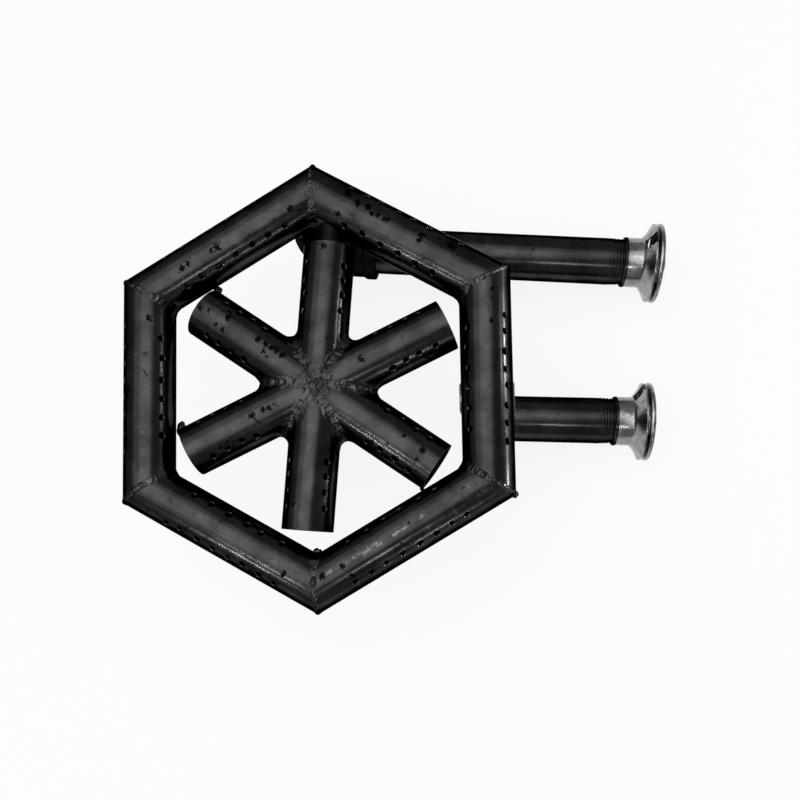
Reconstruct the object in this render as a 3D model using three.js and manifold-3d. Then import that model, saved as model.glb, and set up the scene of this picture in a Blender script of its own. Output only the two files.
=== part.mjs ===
// Double star gas burner: a hexagonal ring and a six-armed star of drilled one inch pipe,
// fed from below by two inlet pipes, each with a cast mixer and a turning air shutter.
// Millimetres, +Z up. The pieces are laid out about the middle of the ring.
import * as THREE from 'three';
import { mergeVertices } from 'three/addons/utils/BufferGeometryUtils.js';
import Module from 'manifold-3d';

const wasm = await Module();
wasm.setup();

const rad = THREE.MathUtils.degToRad;
const up = new THREE.Vector3(0, 0, 1);

// Pipe stock: nominal one inch, as used for the ring, the star and both inlets
const pipeRadius = 16.7;
const pipeWall = 3.4;
const pipeFacets = 24;

// Gap left between pieces that touch, and how far a cutter runs past what it cuts
const seatGap = 0.3;
const overrun = 3;

// Ring: apothem is from the middle to the centreline of a side
const sideCount = 6;
const ringApothem = 110;

// Star: arms point at the ring's corners, less the turn it was welded at; the arm that ends
// nearest the ring stops starGap short of it
const starGap = 0.85;
const starTurn = rad(-5.1);
const starShiftX = 1.7;
const starShiftY = -1.3;
const endPlateThickness = 3;
const endPlateInset = 1.5;
const endPlateFacets = 12;

// Flame ports: two rows along each pipe, either side of the top
const portRadius = 1.9;
const portFacets = 6;
const portLean = rad(45);
const outerPortPitch = 11.5;
const outerPortCount = 8;
const innerPortPitch = 12.6;
const innerPortCounts = [6, 6, 7, 6, 6, 6];
const armPortPitch = 10.1;
const armPortCount = 4;
const armPortInset = 13.7;

// Welds: leg is how far a bead runs out along each pipe, rise how far its crown stands up
const beadLeg = 3;
const beadRise = 2.4;
const cornerKnobRise = 1.3;
const cornerKnobPower = 6;
const hubBeadLeg = 5;
const hubBeadRise = 1.2;
const hubBeadStart = 7.2;
const hubLumpRadius = 6.2;
const hubLumpRise = 2.9;
const hubLumpFacets = 10;
const hubLumpRings = 6;
const filletLeg = 3;
const filletFacets = 12;
const tackRadius = 3.6;

// Link from the star's upper arm to the ring: nominal three eighths pipe in the arm's end plate
const linkLand = 4.8;
const linkWall = 2.3;

// Inlets: both run this far below the ring, under a corner and under a side
const inletDrop = 87.5;
const cornerInletX = -3;
const cornerInletSetIn = 3.2;
const cornerInletYaw = rad(-5.2);
const cornerInletReach = 218;
const sideInletY = -9.5;
const sideInletYaw = rad(-3);
const sideInletReach = 93.2;
const feedHoleLand = 3.8;

// Malleable iron elbow: wall over the pipe, band over the wall, socket depth, inside of the bend
const elbowWall = 3;
const elbowBandRise = 1.6;
const elbowBandWidth = 8.5;
const elbowLeg = 15.5;
const elbowInnerBend = 0.8;
const elbowSteps = 4;

// Taper thread on the mixer end of an inlet pipe
const threadLength = 20;
const threadTipRadius = 15.8;
const threadEngagement = 9;
const threadClearance = 0.5;

// Cast mixer bell: lengths run from its back edge
const lipRadius = 18.1;
const lipWidth = 2.4;
const neckRadius = 17.7;
const neckEnd = 12;
const rimRadius = 28;
const rimWidth = 1.6;
const bellLength = 21;
const bellWall = 2.2;
const throatRadius = 13.3;
const bellFacets = 20;
const flareSteps = 3;
const flarePower = 1.5;
const windowLength = 6.5;
const windowWidth = 7.5;
const webThickness = 2.4;
const bossRadius = 8.6;
const bossLength = 9;
const spigotRadius = 6.5;

// Air openings, alike in the bell's web and in the shutter
const airCount = 3;
const airInnerRadius = 10.5;
const airOuterRadius = 22.5;
const airSpan = rad(58);
const airCurveSteps = 2;

// Shutter disc, its washer and nut, and the brass jet
const shutterRadius = 28.4;
const shutterThickness = 3.2;
const shutterBevel = 0.9;
const shutterFacets = 24;
const rimGap = 1.8;
const shutterRunning = 0.3;
const washerRadius = 10;
const washerFacets = 12;
const nutAcrossFlats = 17;
const nutThickness = 2.1;
const nutSides = 6;
const jetAcrossFlats = 11;
const jetHeadThickness = 1.8;
const jetShankRadius = 4;
const jetSocketRadius = 2.9;
const jetSocketDepth = 9;
const jetTipRadius = 2.2;
const jetTipLength = 4;
const jetLength = 19;
const jetOrificeRadius = 0.7;
const jetFacets = 12;
const cornerMixerTurn = rad(35);
const sideMixerTurn = rad(56);
const windowTurn = rad(60);

// Worked out from the values above
const halfTurn = Math.PI / sideCount;
const fullStep = 2 * halfTurn;
const boreRadius = pipeRadius - pipeWall;
const pipeFlat = pipeRadius * Math.cos(Math.PI / pipeFacets);
const feedHoleRadius = boreRadius - feedHoleLand;
const linkRadius = boreRadius - linkLand;
const ringCorner = ringApothem / Math.cos(halfTurn);
const cornerInletY = ringCorner - cornerInletSetIn;
const elbowRadius = pipeRadius + elbowWall;
const elbowBandRadius = elbowRadius + elbowBandRise;
const elbowBend = elbowRadius + elbowInnerBend;
const sideInletX = ringApothem;
const threadTaper = (pipeRadius - threadTipRadius) / threadLength;
const shutterFront = bellLength + rimGap + shutterThickness;
const jetSeat = shutterFront + seatGap + nutThickness;
const spigotEnd = jetSeat + seatGap;
const closeSide = 5;
const closeAngle = halfTurn + starTurn;
const closeTurn = closeSide * fullStep;
const closeShift = starShiftX * Math.cos(closeTurn) + starShiftY * Math.sin(closeTurn);
const closeCorner = ringApothem - pipeRadius - starGap - closeShift - pipeRadius * Math.sin(closeAngle);
const armLength = closeCorner / Math.cos(closeAngle);

const blackPaint = { color: 0x17171a, roughness: 0.42, metalness: 0.55 };
const weldMetal = { color: 0x1f1e20, roughness: 0.6, metalness: 0.6 };
const blackIron = { color: 0x111113, roughness: 0.7, metalness: 0.4 };
const castAluminium = { color: 0xa4a6a8, roughness: 0.4, metalness: 0.9 };
const platedSteel = { color: 0x9a9a96, roughness: 0.35, metalness: 0.9 };
const brass = { color: 0xb08d4a, roughness: 0.3, metalness: 0.95 };

// A closed geometry as a solid that can be joined and cut, and back again
function solid(geometry) {
  const bare = geometry.clone();
  bare.deleteAttribute('normal');
  bare.deleteAttribute('uv');
  const merged = mergeVertices(bare);
  return new wasm.Manifold(new wasm.Mesh({
    numProp: 3,
    vertProperties: Float32Array.from(merged.attributes.position.array),
    triVerts: Uint32Array.from(merged.index.array),
  }));
}

function geometryOf(body) {
  const mesh = body.getMesh();
  const geometry = new THREE.BufferGeometry();
  geometry.setAttribute('position', new THREE.BufferAttribute(mesh.vertProperties, 3));
  geometry.setIndex(new THREE.BufferAttribute(mesh.triVerts, 1));
  geometry.computeVertexNormals();
  return geometry;
}

function piece(name, body, finish) {
  const material = new THREE.MeshStandardMaterial({ ...finish, flatShading: true });
  const mesh = new THREE.Mesh(geometryOf(body), material);
  mesh.name = name;
  return mesh;
}

// Round bar along X with one flat facing straight up
function rod(radius, from, to, facets = pipeFacets) {
  const bar = new THREE.CylinderGeometry(radius, radius, to - from, facets, 1, false, Math.PI / facets);
  return bar.rotateZ(-Math.PI / 2).translate((from + to) / 2, 0, 0);
}

function post(radius, from, to, facets = pipeFacets) {
  return rod(radius, from, to, facets).rotateY(-Math.PI / 2);
}

// Ring-shaped solid about X from a closed profile of [radius, distance along X]
function turned(profile, facets = pipeFacets) {
  const points = [...profile, profile[0]].map(([radius, along]) => new THREE.Vector2(radius, along));
  return new THREE.LatheGeometry(points, facets, Math.PI / facets).rotateZ(-Math.PI / 2);
}

// Upright wedge about +X that mitres the end of a pipe; gap is what it leaves to its neighbour
function wedge(gap) {
  const apex = gap / 2 / Math.sin(halfTurn);
  const reach = ringCorner + 2 * pipeRadius;
  const spread = (reach - apex) * Math.tan(halfTurn);
  const plan = new THREE.Shape([
    new THREE.Vector2(apex, 0), new THREE.Vector2(reach, -spread), new THREE.Vector2(reach, spread),
  ]);
  const height = 4 * pipeRadius;
  return new THREE.ExtrudeGeometry(plan, { depth: height, bevelEnabled: false }).translate(0, 0, -height / 2);
}

const straightDown = rad(-90);

// Everything on one side of a plane that contains Y; angle is measured from +X towards +Z
function halfSpace(angle, offset) {
  const size = 2 * (ringCorner + inletDrop);
  return new THREE.BoxGeometry(size, size, size).translate(size / 2 + offset, 0, 0).rotateY(-angle);
}

function evenly(count, pitch) {
  return Array.from({ length: count }, (_, i) => (i - (count - 1) / 2) * pitch);
}

// Angles round a pipe at the edges of its facets
function facetAngles(first, last) {
  return Array.from({ length: last - first + 1 }, (_, i) => (first + i + 0.5) * 2 * Math.PI / pipeFacets);
}

// Weld bead along the seam of two pipes that lie at the lean either side of X and are mitred at
// the XZ plane. Each section has its root in the seam, a foot on either pipe and a crown.
function seamBead(lean, leg, riseAt, angles, closed) {
  const radius = pipeRadius + seatGap;
  const points = angles.flatMap((angle) => {
    const root = new THREE.Vector3(radius * Math.cos(angle) / Math.sin(lean), 0, radius * Math.sin(angle));
    const foot = new THREE.Vector3(leg * Math.cos(lean), leg * Math.sin(lean), 0);
    const rise = riseAt(angle);
    const crown = new THREE.Vector3(rise * Math.cos(angle) + foot.x, 0, rise * Math.sin(angle));
    return [root, root.clone().add(foot), root.clone().add(crown), root.clone().add(foot).setY(-foot.y)];
  });
  const corners = points.length / angles.length;
  const sections = closed ? angles.length : angles.length - 1;
  const faces = [];
  for (let i = 0; i < sections; i += 1) {
    const here = i * corners;
    const next = (i + 1) % angles.length * corners;
    for (let k = 0; k < corners; k += 1) {
      const side = (k + 1) % corners;
      faces.push(here + k, next + k, next + side, here + k, next + side, here + side);
    }
  }
  if (!closed) {
    const end = sections * corners;
    for (let k = 1; k < corners - 1; k += 1) {
      faces.push(0, k, k + 1, end, end + k + 1, end + k);
    }
  }
  const bead = new THREE.BufferGeometry().setFromPoints(points);
  bead.setIndex(faces);
  return bead;
}

function portDrill(lean) {
  const drill = rod(portRadius, boreRadius - overrun, pipeRadius + overrun, portFacets);
  return drill.rotateY(lean - Math.PI / 2);
}

function matrixOf(x, y, z, yaw) {
  return new THREE.Matrix4().makeRotationZ(yaw).setPosition(x, y, z);
}

function moved(geometry, matrix) {
  return geometry.clone().applyMatrix4(matrix);
}

const cornerInlet = matrixOf(cornerInletX, cornerInletY, -inletDrop, cornerInletYaw);
const sideInlet = matrixOf(sideInletX, sideInletY, -inletDrop, sideInletYaw);
const armAngle = (k) => halfTurn + k * fullStep + starTurn;
const armFrame = (k) => matrixOf(starShiftX, starShiftY, 0, armAngle(k));
const linkedArm = 1;
const linkedSide = 1;
const linkedFrame = armFrame(linkedArm);

// How far out along an arm its axis crosses a line square to a side of the ring
function reachTo(arm, side, distance) {
  const normal = new THREE.Vector2(1, 0).rotateAround(new THREE.Vector2(), side * fullStep);
  const along = new THREE.Vector2(1, 0).rotateAround(new THREE.Vector2(), armAngle(arm));
  const hub = new THREE.Vector2(starShiftX, starShiftY);
  return (distance - normal.dot(hub)) / normal.dot(along);
}

// Feed holes, in the burner's frame: under the corner, under the side, and from ring to star
const linkEnd = reachTo(linkedArm, linkedSide, ringApothem);
const feedDrill = post(feedHoleRadius, inletDrop - pipeRadius - overrun, inletDrop - boreRadius / 2);
const feedDrills = [
  moved(feedDrill, cornerInlet),
  moved(feedDrill, sideInlet),
  moved(rod(linkRadius - linkWall, armLength, linkEnd), linkedFrame),
];

// Room that the welds near the link leave for it
const linkRoom = moved(rod(linkRadius + seatGap, armLength, linkEnd), linkedFrame);

// One side of the ring lying across +X, as a solid bar; gap is what its mitres leave
function ringBar(radius, gap) {
  const run = ringCorner + pipeRadius;
  const bar = rod(radius, -run, run).rotateZ(Math.PI / 2).translate(ringApothem, 0, 0);
  return solid(bar).intersect(solid(wedge(gap)));
}

// Sides of the ring in the burner's frame, run together at their corners to cut what meets them
function ringBars(sides, radius) {
  const bar = geometryOf(ringBar(radius, -seatGap));
  const bars = sides.map((side) => solid(bar.clone().rotateZ(side * fullStep)));
  return bars.reduce((all, one) => all.add(one));
}

function ringTube(side) {
  const turnBack = new THREE.Matrix4().makeRotationZ(-side * fullStep);
  let tube = ringBar(pipeRadius, seatGap).subtract(ringBar(boreRadius, -2 * overrun));
  const rows = [
    { lean: portLean, places: evenly(outerPortCount, outerPortPitch) },
    { lean: -portLean, places: evenly(innerPortCounts[side], innerPortPitch) },
  ];
  for (const { lean, places } of rows) {
    for (const place of places) {
      tube = tube.subtract(solid(portDrill(lean).translate(ringApothem, place, 0)));
    }
  }
  for (const drill of feedDrills) {
    tube = tube.subtract(solid(moved(drill, turnBack)));
  }
  const mesh = piece(`ring_tube_${side + 1}`, tube, blackPaint);
  mesh.rotation.z = side * fullStep;
  return mesh;
}

// Bead round each mitre with a knob at the outer corner where the weld was started and ended,
// dressed flush underneath, where the ring rests on its bearers
function ringWeld(corner) {
  const turnBack = new THREE.Matrix4().makeRotationZ(-corner * fullStep - halfTurn);
  const riseAt = (angle) => beadRise + cornerKnobRise * Math.max(Math.cos(angle), 0) ** cornerKnobPower;
  const bead = seamBead(2 * fullStep, beadLeg, riseAt, facetAngles(0, pipeFacets - 1), true);
  const riser = post(pipeRadius + filletLeg + 2 * seatGap, 0, inletDrop - seatGap);
  const dressed = solid(halfSpace(straightDown, pipeFlat - seatGap));
  let weld = solid(bead.translate(ringCorner, 0, 0)).subtract(dressed);
  for (const room of [moved(riser, cornerInlet), linkRoom]) {
    weld = weld.subtract(solid(moved(room, turnBack)));
  }
  const mesh = piece(`ring_weld_${corner + 1}`, weld, weldMetal);
  mesh.rotation.z = corner * fullStep + halfTurn;
  return mesh;
}

function starArm(arm) {
  const bore = solid(rod(boreRadius, -overrun, armLength + overrun));
  let tube = solid(rod(pipeRadius, 0, armLength)).subtract(bore).intersect(solid(wedge(seatGap)));
  for (const lean of [portLean, -portLean]) {
    for (let i = 0; i < armPortCount; i += 1) {
      const drill = portDrill(lean).rotateZ(-Math.PI / 2);
      tube = tube.subtract(solid(drill.translate(armLength - armPortInset - i * armPortPitch, 0, 0)));
    }
  }
  const mesh = piece(`star_arm_${arm + 1}`, tube, blackPaint);
  mesh.rotation.z = armAngle(arm);
  return mesh;
}

// Round plate let into the end of an arm; the linked arm's plate is bored for the link
function endPlate(arm) {
  const outer = armLength - endPlateInset;
  let plate = solid(rod(boreRadius - seatGap, outer - endPlateThickness, outer, endPlateFacets));
  if (arm === linkedArm) {
    plate = plate.subtract(solid(rod(linkRadius + seatGap, 0, armLength)));
  }
  const mesh = piece(`end_plate_${arm + 1}`, plate, blackPaint);
  mesh.rotation.z = armAngle(arm);
  return mesh;
}

// Bead down the crotch between two arms, from beside the hub's top to beside its underside
function starWeld(seam) {
  const quarter = pipeFacets / 4 - 1;
  const last = Math.acos(hubBeadStart * Math.sin(halfTurn) / (pipeRadius + seatGap));
  const angles = [-last, ...facetAngles(-quarter, quarter - 1), last];
  const bead = seamBead(halfTurn, hubBeadLeg, () => hubBeadRise, angles, false);
  const mesh = piece(`star_weld_${seam + 1}`, solid(bead), weldMetal);
  mesh.rotation.z = armAngle(seam) + halfTurn;
  return mesh;
}

// Lump of weld over the point where the six arms meet
function hubLump(name, face) {
  const lump = new THREE.SphereGeometry(hubLumpRadius, hubLumpFacets, hubLumpRings).rotateX(Math.PI / 2);
  lump.scale(1, 1, hubLumpRise / hubLumpRadius).translate(0, 0, face * pipeRadius);
  let body = solid(lump);
  for (let k = 0; k < sideCount / 2; k += 1) {
    const through = rod(pipeRadius + seatGap, -armLength, armLength).rotateZ(k * fullStep);
    body = body.subtract(solid(through));
  }
  const mesh = piece(name, body, weldMetal);
  mesh.rotation.z = armAngle(0);
  return mesh;
}

// Tack that fills the space between the near corner of an arm's end and the ring
function starTack(number, arm, side, hand) {
  const corner = new THREE.Vector3(armLength, hand * pipeRadius, 0).applyMatrix4(armFrame(arm));
  const normal = new THREE.Vector3(1, 0, 0).applyAxisAngle(up, side * fullStep);
  const space = ringApothem - pipeRadius - corner.dot(normal);
  const middle = corner.clone().addScaledVector(normal, space / 2);
  const lump = new THREE.IcosahedronGeometry(tackRadius + space / 2, 0).translate(...middle.toArray());
  const armBar = moved(rod(pipeRadius + seatGap, 0, armLength + seatGap), armFrame(arm));
  const tack = solid(lump).subtract(solid(armBar)).subtract(ringBars([side], pipeRadius + seatGap));
  return piece(`star_tack_${number}`, tack, weldMetal);
}

// Short pipe that carries gas from the ring into the star's upper arm
function starLink() {
  const start = armLength - endPlateInset - endPlateThickness;
  const bore = solid(rod(linkRadius - linkWall, 0, linkEnd + overrun));
  const placed = solid(moved(geometryOf(solid(rod(linkRadius, start, linkEnd)).subtract(bore)), linkedFrame));
  const room = ringBars([linkedSide, linkedSide + 1], pipeRadius + seatGap);
  return piece('star_link', placed.subtract(room), blackPaint);
}

// Sides of the ring that stand over each inlet's riser
const cornerSides = [1, 2];
const underSides = [0];

// Upright pipe from a low end to the saddle under the ring, in the burner's frame
function riser(name, frame, low, sides, trim = []) {
  const bore = solid(post(boreRadius, low - overrun, inletDrop + overrun));
  let pipe = solid(post(pipeRadius, low, inletDrop)).subtract(bore);
  for (const cutter of trim) {
    pipe = pipe.subtract(solid(cutter));
  }
  const placed = solid(moved(geometryOf(pipe), frame));
  return piece(name, placed.subtract(ringBars(sides, pipeRadius + seatGap)), blackPaint);
}

// Fillet weld round the saddle where a riser meets the ring
function saddleWeld(name, frame, sides) {
  const grown = solid(moved(post(pipeRadius + filletLeg, 0, inletDrop - seatGap, filletFacets), frame));
  const hole = solid(moved(post(pipeRadius + seatGap, -overrun, inletDrop + overrun), frame));
  const collar = grown.intersect(ringBars(sides, pipeRadius + filletLeg)).subtract(hole);
  const seated = collar.subtract(solid(linkRoom)).subtract(ringBars(sides, pipeRadius + seatGap));
  return piece(name, seated, weldMetal);
}

// Inlet pipe along X, plain at its inner end and taper threaded at the mixer
function inletPipe(name, start, end, trim = []) {
  const tube = turned([
    [boreRadius, start], [pipeRadius, start], [pipeRadius, end - threadLength],
    [threadTipRadius, end], [boreRadius, end],
  ]);
  const body = trim.reduce((pipe, cutter) => pipe.subtract(solid(cutter)), solid(tube));
  return piece(name, body, blackPaint);
}

// Run a solid made along X down a leg, round the quarter bend and out along the other leg
function bent(geometry) {
  const places = geometry.attributes.position;
  for (let i = 0; i < places.count; i += 1) {
    const along = places.getX(i) - elbowLeg;
    const turn = THREE.MathUtils.clamp(along / elbowBend, 0, Math.PI / 2);
    const radius = elbowBend - places.getZ(i);
    places.setX(i, elbowBend - radius * Math.cos(turn) + Math.max(along - elbowBend * Math.PI / 2, 0));
    places.setZ(i, elbowBend - radius * Math.sin(turn) - Math.min(along, 0));
  }
  return geometry;
}

// Elbow with a band at each face and a socket as deep as its leg for the pipe's thread
function elbow(name) {
  const arc = elbowBend * Math.PI / 2;
  const length = 2 * elbowLeg + arc;
  const rings = Array.from({ length: elbowSteps + 1 }, (_, i) => elbowLeg + arc * i / elbowSteps);
  const socket = pipeRadius + seatGap;
  const body = bent(turned([
    [socket, 0], [elbowBandRadius, 0], [elbowBandRadius, elbowBandWidth], [elbowRadius, elbowBandWidth],
    ...rings.map((along) => [elbowRadius, along]),
    [elbowRadius, length - elbowBandWidth], [elbowBandRadius, length - elbowBandWidth],
    [elbowBandRadius, length], [socket, length], [socket, length - elbowLeg],
    ...rings.map((along) => [boreRadius, along]).reverse(), [socket, elbowLeg],
  ]));
  return piece(name, solid(body), blackIron);
}

// Ring sector about X, used to cut the air openings
function airOpening(turn, from, to) {
  const plan = new THREE.Shape();
  plan.absarc(0, 0, airOuterRadius, -airSpan / 2, airSpan / 2, false);
  plan.absarc(0, 0, airInnerRadius, airSpan / 2, -airSpan / 2, true);
  const cutter = new THREE.ExtrudeGeometry(plan, {
    depth: to - from, bevelEnabled: false, curveSegments: airCurveSteps,
  });
  return cutter.rotateY(Math.PI / 2).translate(from, 0, 0).rotateX(Math.PI - turn);
}

function airOpenings(from, to) {
  const turns = Array.from({ length: airCount }, (_, k) => windowTurn + k * 2 * Math.PI / airCount);
  return turns.map((turn) => solid(airOpening(turn, from, to)));
}

// Mixer casting: threaded neck, flare and rim, and a web that carries the jet's boss and spigot
function mixerBell(name) {
  const socketRadius = threadTipRadius + threadTaper * threadEngagement + threadClearance;
  const shoulder = threadEngagement + seatGap;
  const webBack = bellLength - webThickness;
  const bossBack = bellLength - bossLength;
  const jetBore = jetShankRadius + seatGap;
  const flareLength = bellLength - rimWidth - neckEnd;
  const flare = Array.from({ length: flareSteps + 1 }, (_, i) => {
    const share = i / flareSteps;
    return [neckRadius + (rimRadius - neckRadius) * share ** flarePower, neckEnd + flareLength * share];
  });
  const inside = flare.slice(1, -1).map(([radius, along]) => [radius - bellWall, along]).reverse();
  let casting = solid(turned([
    [socketRadius, 0], [lipRadius, 0], [lipRadius, lipWidth], [neckRadius, lipWidth], ...flare,
    [rimRadius, bellLength], [spigotRadius, bellLength], [spigotRadius, spigotEnd], [jetBore, spigotEnd],
    [jetBore, bossBack], [bossRadius, bossBack], [bossRadius, webBack], [rimRadius - 2 * bellWall, webBack],
    ...inside, [throatRadius, neckEnd], [throatRadius, shoulder],
    [threadTipRadius + threadClearance, shoulder],
  ], bellFacets));
  for (const opening of airOpenings(bellLength - webThickness - overrun / 2, bellLength + overrun)) {
    casting = casting.subtract(opening);
  }
  const windowAt = bellLength - rimWidth - windowLength / 2;
  const opening = new THREE.BoxGeometry(windowLength, windowWidth, rimRadius);
  opening.translate(windowAt, 0, rimRadius);
  for (const side of [0, Math.PI]) {
    casting = casting.subtract(solid(opening.clone().rotateX(side)));
  }
  return piece(name, casting, castAluminium);
}

// Disc that turns on the bell's spigot and covers the air openings by degrees
function airShutter(name) {
  const back = bellLength + rimGap;
  const disc = solid(turned([
    [spigotRadius + shutterRunning, back], [shutterRadius - shutterBevel, back],
    [shutterRadius, back + shutterBevel], [shutterRadius, shutterFront - shutterBevel],
    [shutterRadius - shutterBevel, shutterFront], [spigotRadius + shutterRunning, shutterFront],
  ], shutterFacets));
  const openings = airOpenings(back - overrun / 2, shutterFront + overrun);
  return piece(name, openings.reduce((body, hole) => body.subtract(hole), disc), castAluminium);
}

function shutterWasher(name) {
  const bore = spigotRadius + seatGap;
  const back = bellLength + seatGap;
  const front = bellLength + rimGap - seatGap;
  const section = [[bore, back], [washerRadius, back], [washerRadius, front], [bore, front]];
  return piece(name, solid(turned(section, washerFacets)), platedSteel);
}

function hexagon(acrossFlats, from, to) {
  return rod(acrossFlats / 2 / Math.cos(Math.PI / nutSides), from, to, nutSides);
}

function shutterNut(name) {
  const from = shutterFront + seatGap;
  const blank = solid(hexagon(nutAcrossFlats, from, from + nutThickness));
  const bore = solid(rod(spigotRadius + seatGap, from - overrun, from + overrun + nutThickness));
  return piece(name, blank.subtract(bore), platedSteel);
}

// Brass jet: hexagon head on the spigot's end, shank through the boss, small orifice at its nose
function gasJet(name) {
  const back = spigotEnd + seatGap;
  const front = back + jetHeadThickness;
  const nose = front - jetLength;
  const socketEnd = front - jetSocketDepth;
  const shank = solid(turned([
    [jetOrificeRadius, nose], [jetTipRadius, nose], [jetShankRadius, nose + jetTipLength],
    [jetShankRadius, front - jetHeadThickness / 2], [jetSocketRadius, front - jetHeadThickness / 2],
    [jetSocketRadius, socketEnd], [jetOrificeRadius, socketEnd],
  ], jetFacets));
  const socket = solid(rod(jetSocketRadius, socketEnd, front + overrun, jetFacets));
  return piece(name, shank.add(solid(hexagon(jetAcrossFlats, back, front))).subtract(socket), brass);
}

// Bell, shutter and jet of one inlet, on the pipe's end and turned as they were screwed up
function mixer(which, reach, turn) {
  const group = new THREE.Group();
  group.add(mixerBell(`${which}_mixer_bell`), airShutter(`${which}_air_shutter`));
  group.add(gasJet(`${which}_gas_jet`));
  group.add(shutterWasher(`${which}_shutter_washer`), shutterNut(`${which}_shutter_nut`));
  group.position.x = reach;
  group.rotation.x = -turn;
  return group;
}

function inletGroup(x, y, yaw, ...pieces) {
  const group = new THREE.Group();
  group.position.set(x, y, -inletDrop);
  group.rotation.z = yaw;
  group.add(...pieces);
  return group;
}

const burner = new THREE.Group();
for (let k = 0; k < sideCount; k += 1) {
  burner.add(ringTube(k), ringWeld(k));
}

const star = new THREE.Group();
star.position.set(starShiftX, starShiftY, 0);
for (let k = 0; k < sideCount; k += 1) {
  star.add(starArm(k), endPlate(k), starWeld(k));
}
star.add(hubLump('hub_weld_top', 1), hubLump('hub_weld_bottom', -1));
burner.add(star, starLink());
burner.add(starTack(1, 2, 2, -1), starTack(2, 3, 3, -1), starTack(3, 5, 5, -1));

const elbowSeat = elbowBend + seatGap;
burner.add(inletGroup(
  cornerInletX, cornerInletY, cornerInletYaw,
  inletPipe('corner_inlet_pipe', elbowSeat, cornerInletReach + threadEngagement),
  elbow('corner_elbow'),
  mixer('corner', cornerInletReach, cornerMixerTurn),
));
burner.add(riser('corner_riser', cornerInlet, elbowSeat, cornerSides));
burner.add(saddleWeld('corner_riser_weld', cornerInlet, cornerSides));

// The side inlet turns up through a mitre welded at 45 degrees
const mitreUp = rad(135);
const mitreOut = rad(-45);
const sideTrim = [halfSpace(mitreUp, -seatGap / 2)];
burner.add(inletGroup(
  sideInletX, sideInletY, sideInletYaw,
  inletPipe('side_inlet_pipe', -pipeRadius, sideInletReach + threadEngagement, sideTrim),
  mixer('side', sideInletReach, sideMixerTurn),
));
burner.add(riser('side_riser', sideInlet, -pipeRadius, underSides, [halfSpace(mitreOut, -seatGap / 2)]));
burner.add(saddleWeld('side_riser_weld', sideInlet, underSides));

// The part stands on the middle of its lowest plane
const bounds = new THREE.Box3().setFromObject(burner, true);
const middle = bounds.getCenter(new THREE.Vector3());
burner.position.set(-middle.x, -middle.y, -bounds.min.z);
const part = new THREE.Group();
part.add(burner);

export default part;
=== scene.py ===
# Double star gas burner: a drilled ring and star of one inch pipe, two inlets, cast air mixers.
# Sizes in the dictionaries are millimetres about the middle of the ring, angles are degrees.
import math
import random

import bmesh
import bpy
from mathutils import Matrix, Vector, noise


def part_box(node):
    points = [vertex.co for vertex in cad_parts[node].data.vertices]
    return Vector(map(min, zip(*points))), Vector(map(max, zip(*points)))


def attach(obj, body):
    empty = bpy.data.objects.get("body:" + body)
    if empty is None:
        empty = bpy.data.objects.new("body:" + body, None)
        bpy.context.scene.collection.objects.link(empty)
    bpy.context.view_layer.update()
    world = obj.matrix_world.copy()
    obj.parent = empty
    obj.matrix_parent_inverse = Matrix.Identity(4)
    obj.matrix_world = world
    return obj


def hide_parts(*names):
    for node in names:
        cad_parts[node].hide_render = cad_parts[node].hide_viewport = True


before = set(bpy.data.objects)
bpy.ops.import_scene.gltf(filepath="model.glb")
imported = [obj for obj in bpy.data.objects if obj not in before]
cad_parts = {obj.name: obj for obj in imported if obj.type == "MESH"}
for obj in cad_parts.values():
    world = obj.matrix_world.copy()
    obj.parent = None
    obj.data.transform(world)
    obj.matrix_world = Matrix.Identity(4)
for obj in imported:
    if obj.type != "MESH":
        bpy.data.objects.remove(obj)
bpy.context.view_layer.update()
scene = bpy.context.scene
mm = 0.001
full = 2 * math.pi
hair = 0.01
touching = 0.0005

# The frame's nodes say where the middle of the ring lies
ringMiddle = Vector((
    (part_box("ring_tube_1")[1].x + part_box("ring_tube_4")[0].x) / 2,
    (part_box("ring_tube_2")[1].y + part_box("ring_tube_6")[0].y) / 2,
    (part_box("ring_tube_4")[0].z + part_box("ring_tube_4")[1].z) / 2,
))
print("frame loaded, ring's middle at", [round(value, 4) for value in ringMiddle])


# Millimetres about the ring's middle, turned by a yaw, to metres in the frame
def frameAt(x=0.0, y=0.0, z=0.0, yaw=0.0):
    spot = Matrix.Translation((x, y, z)) @ Matrix.Rotation(math.radians(yaw), 4, "Z")
    return Matrix.Translation(ringMiddle) @ Matrix.Scale(mm, 4) @ spot


# One end of a link in a material, which adds and multiplies like a number
class Wire:
    def __init__(self, paint, socket):
        self.paint = paint
        self.socket = socket

    def __add__(self, other):
        return self.paint.maths("ADD", self, other)

    def __radd__(self, other):
        return self.paint.maths("ADD", other, self)

    def __sub__(self, other):
        return self.paint.maths("SUBTRACT", self, other)

    def __rsub__(self, other):
        return self.paint.maths("SUBTRACT", other, self)

    def __mul__(self, other):
        return self.paint.maths("MULTIPLY", self, other)

    def __rmul__(self, other):
        return self.paint.maths("MULTIPLY", other, self)


# How the edge of a stain, a worn pale place or a painted glint fades: how ragged it is, and the
# shares of its radius between which it falls from 1 to 0
stainEdge = {"ragged": 3.6, "from": 0.55, "to": 0.8}
rubAndGlintEdge = {"ragged": 6, "from": 0.2, "to": 0.9}


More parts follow.
